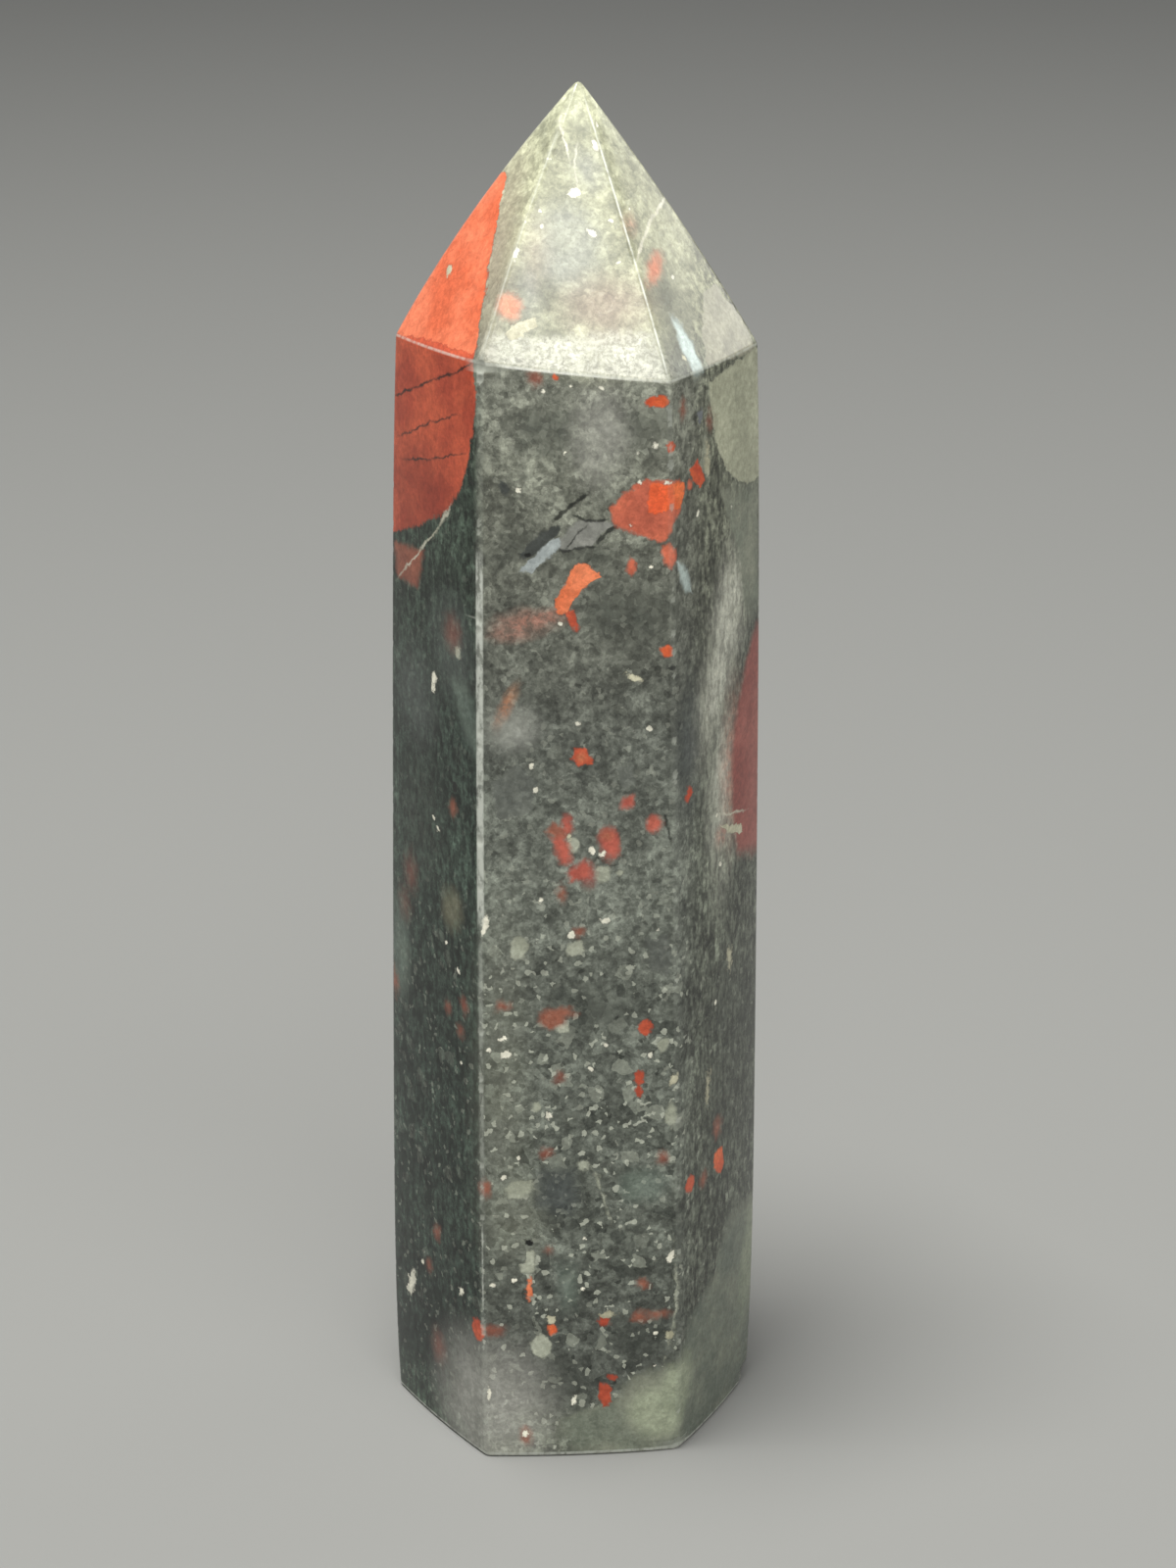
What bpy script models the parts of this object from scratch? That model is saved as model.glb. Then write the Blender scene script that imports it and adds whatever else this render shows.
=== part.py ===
"""A bloodstone tower: a six-sided column of polished stone that ends in a six-sided point.

The tower is one piece. Its outline is drawn as rings of six corners, stacked from the foot up the
column and then up the point. Each ring's corners are rounded, as the polished edges are, and its
sides swell a little, as faces that were ground by hand do.

Run it with: blender --background --python part.py
"""

import math
from typing import NamedTuple

import bmesh
import bpy
from mathutils import Vector

MM = 0.001


class Edge(NamedTuple):
    """One of the six upright edges, and the ridge of the point that goes on from it.

    Bearings are degrees, anticlockwise from +X seen from above. Lengths are millimetres.
    """

    foot_bearing: float
    foot_reach: float
    top_bearing: float
    top_reach: float
    top_height: float
    bow: float


# Driving dimensions, in millimetres.
HEIGHT = 92.0
FOOT_TUCK = 0.5
FOOT_TUCK_HEIGHT = 7.0
CROWN = 0.28
CROWN_POWER = 8
FACE_BULGE_SHARE = 0.022
EDGE_EASE = 0.33
MOST_EASE_SHARE = 0.25
FOOT_EASE = 0.3
SHOULDER_EASE = 0.35
TIP_EASE = 0.3
TIP_LEAN = (-0.15, 0.0)

# The front is -Y. The first and fourth edges are the outline that the front shows.
EDGES = (
    Edge(183.9, 12.90, 183.9, 11.75, 76.1, 0.70),
    Edge(240.6, 12.60, 238.9, 11.75, 76.5, 0.50),
    Edge(307.3, 12.40, 301.3, 10.80, 75.2, 0.20),
    Edge(3.9, 12.85, 3.9, 11.50, 75.3, 0.40),
    Edge(59.2, 12.60, 59.8, 11.30, 75.6, 0.45),
    Edge(122.8, 12.70, 122.4, 11.35, 76.0, 0.55),
)

# Where the rings lie, as shares of the column's height and of the point's rise.
COLUMN_SHARES = (0.018, 0.04, 0.075, 0.13, 0.21, 0.32, 0.45, 0.58, 0.7, 0.8, 0.88, 0.94, 0.975)
POINT_SHARES = (0.07, 0.17, 0.28, 0.4, 0.52, 0.64, 0.75, 0.85, 0.93, 0.965, 0.985)
CORNER_STEPS = 2
BEND_STEPS = 2
FACE_STEPS = 4


def outward(place):
    """The level direction from the middle of the tower to a place on it."""
    return Vector((place.x, place.y, 0.0)).normalized()


def bend(before, corner, after, share):
    """A point on the short curve that rounds off a corner between two places."""
    return before.lerp(corner, share).lerp(corner.lerp(after, share), share)


def column_corner(edge, share):
    """Where an upright edge is, at a share of its height."""
    height = share * edge.top_height
    bearing = math.radians(edge.foot_bearing + share * (edge.top_bearing - edge.foot_bearing))
    reach = edge.foot_reach + share * (edge.top_reach + CROWN - edge.foot_reach)
    reach -= CROWN * share**CROWN_POWER
    reach -= FOOT_TUCK * math.exp(-height / FOOT_TUCK_HEIGHT)
    return Vector((reach * math.cos(bearing), reach * math.sin(bearing), height))


def point_corner(edge, share):
    """Where a ridge of the point is, at a share of its rise from the shoulder to the tip."""
    shoulder = column_corner(edge, 1.0)
    sharp_tip = Vector((*TIP_LEAN, HEIGHT + TIP_EASE))
    place = shoulder.lerp(sharp_tip, share)
    place += outward(shoulder) * edge.bow * 4.0 * share * (1.0 - share)
    place.z = sharp_tip.z - math.hypot(sharp_tip.z - place.z, TIP_EASE)
    return place


def edge_path(edge):
    """The places of one edge from the foot to just under the tip, one for each ring."""
    foot = column_corner(edge, 0.0)
    foot_inset = foot - outward(foot) * FOOT_EASE
    above_foot = column_corner(edge, FOOT_EASE / edge.top_height)
    below_shoulder = column_corner(edge, 1.0 - SHOULDER_EASE / edge.top_height)
    shoulder = column_corner(edge, 1.0)
    above_shoulder = point_corner(edge, SHOULDER_EASE / (HEIGHT - edge.top_height))
    steps = [step / BEND_STEPS for step in range(BEND_STEPS + 1)]
    path = [bend(foot_inset, foot, above_foot, share) for share in steps]
    path += [column_corner(edge, share) for share in COLUMN_SHARES]
    path += [bend(below_shoulder, shoulder, above_shoulder, share) for share in steps]
    path += [point_corner(edge, share) for share in POINT_SHARES]
    return path


def on_side(start, end, share):
    """A point on one side of a ring, which swells a little, as a hand-polished face does."""
    along = end - start
    swell = Vector((along.y, -along.x, 0.0)) * FACE_BULGE_SHARE
    return start + along * share + swell * 4.0 * share * (1.0 - share)


def rounded_ring(corners):
    """A ring of six swelling sides, with a short curve round each corner."""
    ring = []
    for index, corner in enumerate(corners):
        before = corners[index - 1]
        after = corners[(index + 1) % len(corners)]
        ease_before = min(EDGE_EASE / (corner - before).length, MOST_EASE_SHARE)
        ease_after = min(EDGE_EASE / (after - corner).length, MOST_EASE_SHARE)
        start = on_side(before, corner, 1.0 - ease_before)
        end = on_side(corner, after, ease_after)
        for step in range(CORNER_STEPS + 1):
            ring.append(bend(start, corner, end, step / CORNER_STEPS))
        for step in range(1, FACE_STEPS):
            ring.append(on_side(corner, after, step / FACE_STEPS))
    return ring


def stack_rings(bm, rings):
    """Draws a closed skin up through the rings, and returns the face on the last one."""
    bmesh.ops.create_circle(bm, cap_ends=True, segments=len(rings[0]), radius=1.0)
    top = bm.faces[:][0]
    for vert, place in zip(top.verts, rings[0]):
        vert.co = place
    for ring in rings[1:]:
        top = bmesh.ops.extrude_discrete_faces(bm, faces=[top])["faces"][0]
        for vert, place in zip(top.verts, ring):
            vert.co = place
    return top


def centre_on_foot(bm):
    """Moves the tower so that the middle of its outline stands over the origin."""
    for axis in (0, 1):
        places = [vert.co[axis] for vert in bm.verts]
        shift = Vector((0.0, 0.0, 0.0))
        shift[axis] = -(min(places) + max(places)) / 2.0
        bmesh.ops.translate(bm, verts=bm.verts, vec=shift)


def tower_mesh():
    """The whole tower as one closed mesh."""
    rings = [rounded_ring(corners) for corners in zip(*map(edge_path, EDGES))]
    bm = bmesh.new()
    top = stack_rings(bm, rings)
    tip = bmesh.ops.poke(bm, faces=[top])["verts"][0]
    tip.co = Vector((*TIP_LEAN, HEIGHT))
    bmesh.ops.holes_fill(bm, edges=bm.edges)
    centre_on_foot(bm)
    bmesh.ops.scale(bm, verts=bm.verts, vec=(MM, MM, MM))
    bmesh.ops.recalc_face_normals(bm, faces=bm.faces)
    mesh = bpy.data.meshes.new("tower")
    bm.to_mesh(mesh)
    bm.free()
    mesh.shade_smooth()
    mesh.set_sharp_from_angle(angle=math.radians(40.0))
    return mesh


def polished_bloodstone():
    """Dark grey-green stone with a glossy polish."""
    material = bpy.data.materials.new("polished_bloodstone")
    material.use_nodes = True
    shader = material.node_tree.nodes["Principled BSDF"]
    shader.inputs["Base Color"].default_value = (0.085, 0.095, 0.078, 1.0)
    shader.inputs["Metallic"].default_value = 0.0
    shader.inputs["Roughness"].default_value = 0.15
    shader.inputs["IOR"].default_value = 1.54
    return material


def main():
    """Clears the scene and adds the tower, standing on its foot at the origin."""
    for leftover in list(bpy.data.objects):
        bpy.data.objects.remove(leftover)
    tower = bpy.data.objects.new("tower", tower_mesh())
    tower.data.materials.append(polished_bloodstone())
    bpy.context.scene.collection.objects.link(tower)


main()
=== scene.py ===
# %% [markdown]
# # A tower of bloodstone
# A bloodstone tower is one piece of natural stone. It was sawn to a six-sided column, ground to a
# six-sided point and polished on a wheel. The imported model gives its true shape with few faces. This
# file keeps that shape, draws it finely enough to show its polished edges and small chips, and gives
# it the look of the stone.

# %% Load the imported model
import math
import random
from typing import NamedTuple

import bmesh
import bpy
from mathutils import Matrix, Vector
from mathutils.bvhtree import BVHTree
from mathutils.kdtree import KDTree


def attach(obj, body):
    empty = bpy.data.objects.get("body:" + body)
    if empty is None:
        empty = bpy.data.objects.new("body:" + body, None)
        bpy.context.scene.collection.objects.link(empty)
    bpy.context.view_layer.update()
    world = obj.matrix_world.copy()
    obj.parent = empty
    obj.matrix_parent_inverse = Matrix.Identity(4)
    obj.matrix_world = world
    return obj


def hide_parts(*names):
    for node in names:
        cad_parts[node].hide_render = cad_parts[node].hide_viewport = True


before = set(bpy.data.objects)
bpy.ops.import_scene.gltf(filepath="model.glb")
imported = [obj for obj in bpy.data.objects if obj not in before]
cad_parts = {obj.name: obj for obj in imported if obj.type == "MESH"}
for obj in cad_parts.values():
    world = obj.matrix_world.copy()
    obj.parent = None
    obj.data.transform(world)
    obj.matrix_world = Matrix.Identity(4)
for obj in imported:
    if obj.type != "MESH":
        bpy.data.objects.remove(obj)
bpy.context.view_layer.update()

MM = 0.001
print("nodes in the frame:", sorted(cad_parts))

# %% [markdown]
# ## The camera
# The photograph was taken from a little above the tower, about 25 cm away. Its place, tilt and
# lens were found from the corners of the foot and the shoulder, so a pixel of the photograph can be
# traced back on to the stone. Lengths are in millimetres until the end of each step.

# %% Camera
PHOTO_WIDTH = 1200
PHOTO_HEIGHT = 1600
SENSOR_SIZE = 36.0
FOCAL_LENGTH = 80.1
CAMERA_PLACE = Vector((0.77, -218.35, 127.35))
CAMERA_PITCH = math.radians(20.58)
CAMERA_ROLL = math.radians(0.36)
CLIP_START = 0.01

camera_data = bpy.data.cameras.new("camera")
camera_data.sensor_width = SENSOR_SIZE
camera_data.lens = FOCAL_LENGTH
camera_data.clip_start = CLIP_START
camera = bpy.data.objects.new("camera", camera_data)
camera_turn = Matrix.Rotation(math.pi / 2.0 - CAMERA_PITCH, 3, "X") @ Matrix.Rotation(CAMERA_ROLL, 3, "Z")
camera.matrix_world = Matrix.Translation(CAMERA_PLACE * MM) @ camera_turn.to_4x4()
bpy.context.scene.collection.objects.link(camera)
bpy.context.scene.camera = camera
FOCAL_PX = FOCAL_LENGTH / SENSOR_SIZE * PHOTO_HEIGHT
print("focal length in pixels:", round(FOCAL_PX))

# %% [markdown]
# ## Floor and light
# The tower stands on a plain pale floor. A polished stone is lit as much by what it mirrors as by
# what falls on it. The front of the point leans back, so it mirrors whatever is high in front of
# it: a large soft light there gives the point its pale haze. A stronger one from high on the left
# lights the whole stone and brings out the red flank. A low panel in front and a weak one behind on
# the right lift the faces that these two leave dark.


# %% Colours
def linear(hex_colour):
    """The linear colour of an sRGB hex value."""
    parts = [int(hex_colour[start : start + 2], 16) / 255.0 for start in (1, 3, 5)]
    return [part / 12.92 if part <= 0.04045 else ((part + 0.055) / 1.055) ** 2.4 for part in parts]


def paint(hex_colour):
    """A colour for a socket, from an sRGB hex value."""
    return (*linear(hex_colour), 1.0)


print("the linear colour of #808080:", [round(part, 3) for part in linear("#808080")])

# %% Floor
FLOOR_REACH = 3000.0
FLOOR_COLOUR = "#7c7c78"
FLOOR_ROUGHNESS = 0.9
FLOOR_SIDES = 64


def matt_floor():
    """Smooth painted board: pale, with no gloss."""
    material = bpy.data.materials.new("matt_floor")
    material.use_nodes = True
    shader = material.node_tree.nodes["Principled BSDF"]
    shader.inputs["Base Color"].default_value = paint(FLOOR_COLOUR)
    shader.inputs["Roughness"].default_value = FLOOR_ROUGHNESS
    return material


floor_bm = bmesh.new()
bmesh.ops.create_circle(floor_bm, cap_ends=True, segments=FLOOR_SIDES, radius=FLOOR_REACH * MM)
floor_mesh = bpy.data.meshes.new("floor")
floor_bm.to_mesh(floor_mesh)
floor_bm.free()
floor = bpy.data.objects.new("floor", floor_mesh)
floor_mesh.materials.append(matt_floor())
bpy.context.scene.collection.objects.link(floor)
print("floor radius in millimetres:", FLOOR_REACH)

# %% Lights
LIGHT_TARGET = Vector((0.0, 0.0, 55.0))
ROOM_TINT = (0.96, 0.98, 1.0, 1.0)
ROOM_BRIGHTNESS = 0.26


class Softbox(NamedTuple):
    """A soft light. Bearings are degrees, anticlockwise from +X seen from above."""

    bearing: float
    elevation: float
    distance: float
    wide: float
    tall: float
    radiance: float


SOFTBOXES = {
    "haze_softbox": Softbox(290.0, 48.0, 600.0, 420.0, 230.0, 4.8),
    "top_softbox": Softbox(212.0, 79.0, 700.0, 270.0, 270.0, 39.0),
    "front_panel": Softbox(273.0, 10.0, 700.0, 300.0, 200.0, 6.0),
    "rim_panel": Softbox(33.0, 19.0, 700.0, 300.0, 200.0, 2.4),
}


def add_softbox(name, box):
    """Adds a rectangular light that faces the tower. Power follows from radiance and area."""
    data = bpy.data.lights.new(name, "AREA")
    data.shape = "RECTANGLE"
    data.size = box.wide * MM
    data.size_y = box.tall * MM
    data.energy = box.radiance * math.pi * data.size * data.size_y
    bearing = math.radians(box.bearing)
    elevation = math.radians(box.elevation)
    level = math.cos(elevation)
    away = Vector((level * math.cos(bearing), level * math.sin(bearing), math.sin(elevation)))
    light = bpy.data.objects.new(name, data)
    light.matrix_world = Matrix.Translation((LIGHT_TARGET + away * box.distance) * MM) @ (
        away.to_track_quat("Z", "Y").to_matrix().to_4x4()
    )
    bpy.context.scene.collection.objects.link(light)


for name, box in SOFTBOXES.items():
    add_softbox(name, box)

world = bpy.data.worlds.new("pale_room")
world.use_nodes = True
world.node_tree.nodes["Background"].inputs["Color"].default_value = ROOM_TINT
world.node_tree.nodes["Background"].inputs["Strength"].default_value = ROOM_BRIGHTNESS
bpy.context.scene.world = world
bpy.context.scene.view_settings.view_transform = "Standard"
print("lights:", ", ".join(SOFTBOXES))

# %% [markdown]
# ## The shape
# The column's six edges lean in a little towards the top, turn slightly, and go on as the ridges of
# the point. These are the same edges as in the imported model. There the tower is drawn with some 2000
# faces. Here its skin is a fine grid, so that each edge is a true curve for light to run along and
# the chips have faces to be cut from. A flat grid is wrapped round the tower: its columns run up the
# stone and its rows go round it.


# %% Edges
class Edge(NamedTuple):
    """One of the six upright edges, and the ridge of the point that goes on from it.

    Bearings are degrees, anticlockwise from +X seen from above. Lengths are millimetres.
    """

    foot_bearing: float
    foot_reach: float
    top_bearing: float
    top_reach: float
    top_height: float
    bow: float


HEIGHT = 92.0
FOOT_TUCK = 0.5
FOOT_TUCK_HEIGHT = 7.0
CROWN = 0.28
CROWN_POWER = 8
FACE_BULGE_SHARE = 0.022
EDGE_EASE = 0.33
MOST_EASE_SHARE = 0.25
FOOT_EASE = 0.3
SHOULDER_EASE = 0.2
TIP_EASE = 0.3
TIP_LEAN = (-0.15, 0.0)

LEFT = Edge(183.9, 12.90, 183.9, 11.75, 76.1, 0.70)
FRONT_LEFT = Edge(240.6, 12.60, 238.9, 11.75, 76.5, 0.50)
FRONT_RIGHT = Edge(307.3, 12.40, 301.3, 10.80, 75.2, 0.20)
RIGHT = Edge(3.9, 12.85, 3.9, 11.50, 75.3, 0.40)
BACK_RIGHT = Edge(59.2, 12.60, 59.8, 11.30, 75.6, 0.45)
BACK_LEFT = Edge(122.8, 12.70, 122.4, 11.35, 76.0, 0.55)
EDGES = (LEFT, FRONT_LEFT, FRONT_RIGHT, RIGHT, BACK_RIGHT, BACK_LEFT)


def outward(place):
    """The level direction from the middle of the tower to a place on it."""
    return Vector((place.x, place.y, 0.0)).normalized()


def bend(before, corner, after, share):
    """A point on the short curve that rounds off a corner between two places."""
    return before.lerp(corner, share).lerp(corner.lerp(after, share), share)


def column_corner(edge, share):
    """Where an upright edge is, at a share of its height."""
    height = share * edge.top_height
    bearing = math.radians(edge.foot_bearing + share * (edge.top_bearing - edge.foot_bearing))
    reach = edge.foot_reach + share * (edge.top_reach + CROWN - edge.foot_reach)
    reach -= CROWN * share**CROWN_POWER
    reach -= FOOT_TUCK * math.exp(-height / FOOT_TUCK_HEIGHT)
    return Vector((reach * math.cos(bearing), reach * math.sin(bearing), height))


def point_corner(edge, share):
    """Where a ridge of the point is, at a share of its rise from the shoulder to the tip."""
    shoulder = column_corner(edge, 1.0)
    sharp_tip = Vector((*TIP_LEAN, HEIGHT + TIP_EASE))
    place = shoulder.lerp(sharp_tip, share)
    place += outward(shoulder) * edge.bow * 4.0 * share * (1.0 - share)
    place.z = sharp_tip.z - math.hypot(sharp_tip.z - place.z, TIP_EASE)
    return place


# %% Rings
RING_SPACING = 0.15
CORNER_STEPS = 6
FACE_STEPS = 8
BEND_STEPS = 5
RIDGE_START_SHARE = 0.03
TIP_SHARE = 0.996


def shares_between(start, end, spacing):
    """Evenly spaced shares between two, at about a given spacing, without the two themselves."""
    count = round((end - start) / spacing)
    return [start + (end - start) * step / count for step in range(1, count)]


def edge_path(edge):
    """The places of one edge from the middle of the foot to the tip, one for each ring."""
    foot = column_corner(edge, 0.0)
    foot_inset = foot - outward(foot) * FOOT_EASE
    foot_share = FOOT_EASE / edge.top_height
    shoulder_share = 1.0 - SHOULDER_EASE / edge.top_height
    ridge_share = SHOULDER_EASE / (HEIGHT - edge.top_height)
    steps = [step / BEND_STEPS for step in range(BEND_STEPS + 1)]
    column_shares = shares_between(FOOT_EASE / HEIGHT, 1.0 - SHOULDER_EASE / HEIGHT, RING_SPACING / HEIGHT)
    point_spacing = RING_SPACING / (HEIGHT - FRONT_LEFT.top_height)
    point_shares = shares_between(RIDGE_START_SHARE, TIP_SHARE, point_spacing)
    path = [bend(foot_inset, foot, column_corner(edge, foot_share), share) for share in steps]
    path += [column_corner(edge, share) for share in column_shares]
    shoulder = column_corner(edge, 1.0)
    path += [
        bend(column_corner(edge, shoulder_share), shoulder, point_corner(edge, ridge_share), share)
        for share in steps
    ]
    path += [point_corner(edge, share) for share in point_shares]
    return path


def on_side(start, end, share):
    """A point on one side of a ring, which swells a little, as a hand-polished face does."""
    along = end - start
    swell = Vector((along.y, -along.x, 0.0)) * FACE_BULGE_SHARE
    return start + along * share + swell * 4.0 * share * (1.0 - share)


def rounded_ring(corners):
    """A ring of six swelling sides, with a short curve round each corner."""
    ring = []
    for index, corner in enumerate(corners):
        before = corners[index - 1]
        after = corners[(index + 1) % len(corners)]
        ease_before = min(EDGE_EASE / (corner - before).length, MOST_EASE_SHARE)
        ease_after = min(EDGE_EASE / (after - corner).length, MOST_EASE_SHARE)
        start = on_side(before, corner, 1.0 - ease_before)
        end = on_side(corner, after, ease_after)
        for step in range(CORNER_STEPS + 1):
            ring.append(bend(start, corner, end, step / CORNER_STEPS))
        for step in range(1, FACE_STEPS):
            share = ease_after + (1.0 - 2.0 * ease_after) * step / FACE_STEPS
            ring.append(on_side(corner, after, share))
    return ring


def centring(rings):
    """The move that puts the middle of the outline over the origin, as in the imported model."""
    places = [place for ring in rings for place in ring]
    middle = [(min(p[axis] for p in places) + max(p[axis] for p in places)) / 2.0 for axis in (0, 1)]
    return Vector((-middle[0], -middle[1], 0.0))


rings = [rounded_ring(corners) for corners in zip(*map(edge_path, EDGES))]
to_centre = centring(rings)
tip = Vector((*TIP_LEAN, HEIGHT))
rings = [[Vector((0.0, 0.0, 0.0))] * len(rings[0])] + rings + [[tip] * len(rings[0])]
print("rings:", len(rings), "points in a ring:", len(rings[0]), "move to centre:", tuple(to_centre))


# %% Painted edge highlights
class PaintedHighlight(NamedTuple):
    """A stretch of an edge with a painted highlight. Heights are millimetres, and the width is how many
    points of the skin it spans to each side of the middle of the edge."""

    edge: Edge
    low: float
    high: float
    strength: float
    width: float


# Painted highlights along stretches of the rounded edges, where they would catch the light.
PAINTED_HIGHLIGHTS = (
    PaintedHighlight(FRONT_LEFT, 39.0, 65.0, 1.0, 2.0),
    PaintedHighlight(FRONT_LEFT, 18.5, 39.0, 0.35, 1.0),
    PaintedHighlight(FRONT_LEFT, 11.0, 18.5, 1.0, 0.0),
    PaintedHighlight(FRONT_LEFT, 76.5, 90.0, 0.35, 0.0),
    PaintedHighlight(FRONT_RIGHT, 75.0, 91.5, 1.0, 0.0),
    PaintedHighlight(RIGHT, 75.0, 91.0, 0.6, 0.0),
    PaintedHighlight(LEFT, 75.0, 91.0, 0.3, 0.0),
    PaintedHighlight(BACK_LEFT, 30.0, 60.0, 0.7, 1.0),
    PaintedHighlight(BACK_LEFT, 76.0, 91.0, 0.6, 0.0),
    PaintedHighlight(BACK_RIGHT, 8.0, 35.0, 0.6, 1.0),
)
# Painted highlights: a faint one on every edge, and stronger ones on the rounded foot and the shoulder
# line.
EVEN_HIGHLIGHT = 0.08
EVEN_HIGHLIGHT_WIDTH = 2.0
FOOT_HIGHLIGHT = 0.9
SHOULDER_HIGHLIGHT = 0.45
HIGHLIGHT_FADE = 1.5
FOOT_ROWS = BEND_STEPS + 1
nearest_row = min(range(len(rings)), key=lambda row: abs(rings[row][0].z - LEFT.top_height))
SHOULDER_ROWS = (nearest_row - 1, nearest_row)
print("rows of the shoulder line:", SHOULDER_ROWS)


def painted_highlight_at(ring_place, height, ring):
    """How strong the painted highlight is at a point of the skin: it lies only on the rounded edges."""
    if ring <= FOOT_ROWS:
        return FOOT_HIGHLIGHT
    if ring in SHOULDER_ROWS:
        return SHOULDER_HIGHLIGHT
    corner, step = divmod(ring_place, CORNER_STEPS + FACE_STEPS)
    edge = EDGES[corner]
    off_ridge = abs(step - CORNER_STEPS / 2.0)
    strongest = EVEN_HIGHLIGHT if off_ridge <= EVEN_HIGHLIGHT_WIDTH else 0.0
    for highlight_stretch in PAINTED_HIGHLIGHTS:
        if highlight_stretch.edge == edge and off_ridge <= highlight_stretch.width:
            inside = min(height - highlight_stretch.low, highlight_stretch.high - height) / HIGHLIGHT_FADE
            strongest = max(strongest, highlight_stretch.strength * min(inside, 1.0))
    return strongest


# %% Wrap the grid
SAME_PLACE = 0.0001


def wrap_skin(rings):
    """A flat grid wrapped round the tower, with its seam and its two ends closed."""
    around = len(rings[0])
    rows = len(rings) - 1
    bm = bmesh.new()
    painted_edge_highlight = bm.verts.layers.float.new("painted_edge_highlight")
    bmesh.ops.create_grid(bm, x_segments=around, y_segments=rows, size=1.0)
    for vert in bm.verts:
        column = round((vert.co.x + 1.0) / 2.0 * around) % around
        row = round((vert.co.y + 1.0) / 2.0 * rows)
        vert.co = rings[row][column] + to_centre
        # Each point of the skin carries the strength of its painted edge highlight.
        vert[painted_edge_highlight] = painted_highlight_at(column, vert.co.z, row)
    bmesh.ops.remove_doubles(bm, verts=bm.verts, dist=SAME_PLACE)
    bmesh.ops.recalc_face_normals(bm, faces=bm.faces)
    return bm


skin = wrap_skin(rings)
print("points:", len(skin.verts), "faces:", len(skin.faces))

# %% [markdown]
# ## Chips and nicks
# Stone edges don't stay perfect: grains break out of them on the wheel, and knocks take small
# shell-shaped scoops. Each one is cut here as if with a ball: points of the skin inside the ball are
# pushed on to its surface. The cuts are not polished, so they are marked for the material too.

# %% Nicks
NICK_SEED = 7
NICKS_AN_EDGE = 24
NICK_ENDS = (1.0, 0.5)
NICK_RADIUS = (0.35, 1.0)
NICK_DEPTH = (0.015, 0.06)
WORN = skin.verts.layers.float.new("worn")


class Chip(NamedTuple):
    """A scoop out of an edge. Lengths are millimetres."""

    edge: Edge
    height: float
    radius: float
    depth: float


CHIPS = (
    Chip(FRONT_LEFT, 76.4, 1.0, 0.22),
    Chip(FRONT_LEFT, 75.6, 0.7, 0.10),
    Chip(RIGHT, 0.3, 1.6, 0.45),
    Chip(FRONT_LEFT, 60.2, 1.1, 0.10),
    Chip(FRONT_LEFT, 45.4, 0.9, 0.10),
    Chip(FRONT_LEFT, 32.0, 0.8, 0.07),
    Chip(FRONT_RIGHT, 0.2, 1.2, 0.25),
    Chip(BACK_LEFT, 0.3, 1.4, 0.30),
    Chip(BACK_RIGHT, 75.4, 1.2, 0.20),
)


def random_nicks():
    """Fine nicks along each upright edge, the same ones in every run."""
    draw = random.Random(NICK_SEED)
    nicks = []
    for edge in EDGES:
        for _ in range(NICKS_AN_EDGE):
            height = draw.uniform(NICK_ENDS[0], edge.top_height - NICK_ENDS[1])
            nicks.append(Chip(edge, height, draw.uniform(*NICK_RADIUS), draw.uniform(*NICK_DEPTH)))
    return nicks


def scoop(chip, finder, verts):
    """Pushes the skin back on to a ball that bites into an edge."""
    place = column_corner(chip.edge, min(chip.height / chip.edge.top_height, 1.0)) + to_centre
    found, index, _ = finder.find(place)
    out = outward(found)
    centre = found + out * (chip.radius - chip.depth)
    for co, index, distance in finder.find_range(centre, chip.radius):
        vert = verts[index]
        vert.co = centre + (co - centre).normalized() * chip.radius
        vert.co.z = max(vert.co.z, 0.0)
        vert[WORN] = 1.0
    return found


skin.verts.ensure_lookup_table()
finder = KDTree(len(skin.verts))
for vert in skin.verts:
    finder.insert(vert.co, vert.index)
finder.balance()
all_chips = [*CHIPS, *random_nicks()]
for chip in all_chips:
    scoop(chip, finder, skin.verts)
print("chips and nicks:", len(all_chips))

# %% [markdown]
# ## From the photograph to the stone
# The stone's red, cream and grey fragments lie where nature left them, so their places were read off
# the photograph, in its pixels. A line of sight through each pixel is followed to where it
# meets the stone. The fragments themselves are solid shapes inside the stone, in millimetres.

# %% Lines of sight
stone_surface = BVHTree.FromBMesh(skin)


def sight_line(px_right, px_down):
    """The direction in which the camera sees a pixel of the photograph."""
    seen = Vector((px_right - PHOTO_WIDTH / 2.0, PHOTO_HEIGHT / 2.0 - px_down, -FOCAL_PX))
    return (camera_turn @ seen).normalized()


def stone_at(px_right, px_down):
    """Where a pixel's line of sight meets the stone, and which way the stone faces there."""
    place, facing, _, _ = stone_surface.ray_cast(CAMERA_PLACE, sight_line(px_right, px_down))
    return place, facing


MIDDLE_PX = (600, 800)
place, facing = stone_at(*MIDDLE_PX)
print("the middle of the photograph shows the stone at", tuple(round(c, 1) for c in place))

# %% [markdown]
# ## The stone
# Bloodstone is a chalcedony, a very fine quartz: IOR 1.54, no metal, and a glassy polish. This piece
# is of the kind made of broken bits: a dark grey-green ground full of sand-like grains, with angular
# fragments of red jasper and of paler stone set in it. All patterns are solid, read from Object
# coordinates in millimetres, so they run through the stone and cross its edges as real ones do.
# Each fragment gives a depth: how far a point lies outside it, below nought inside.

# %% Start of the material
stone = bpy.data.materials.new("polished_bloodstone")
stone.use_nodes = True
tree = stone.node_tree
shader = tree.nodes["Principled BSDF"]


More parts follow.
